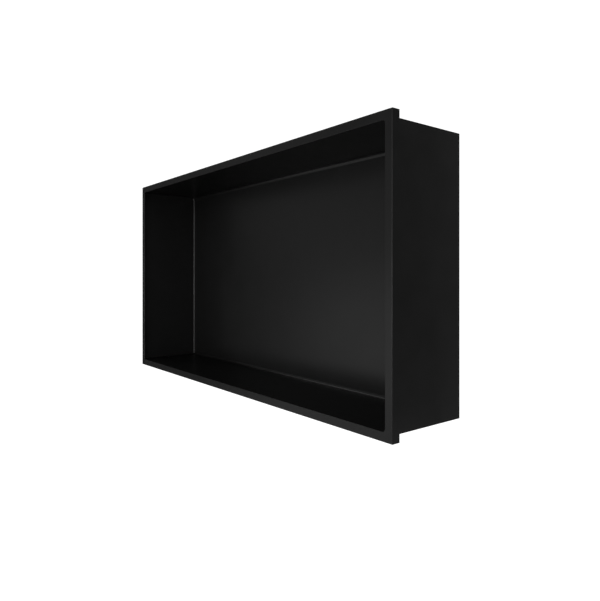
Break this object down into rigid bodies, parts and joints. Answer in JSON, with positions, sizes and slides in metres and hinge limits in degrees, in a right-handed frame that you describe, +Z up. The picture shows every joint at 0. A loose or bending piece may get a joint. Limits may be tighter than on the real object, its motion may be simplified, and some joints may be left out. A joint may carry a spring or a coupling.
{
  "type": "shower niche insert",
  "caption": "Recessed rectangular wall niche of folded, seam-welded sheet steel with a narrow face frame, for holding bottles in a shower wall; matt black.",
  "frame": {"origin": "middle of the niche in the plane of the wall, where the rear edges of the top and bottom returns bear", "axes": "+X along the width, +Y into the wall, +Z up"},
  "size_m": [0.612, 0.1, 0.312],
  "materials": {
    "black_coat": "fine matt black powder coat with a faint satin gloss"
  },
  "bodies": {
    "root": {"niche_shell": "black_coat"}
  },
  "joints": []
}
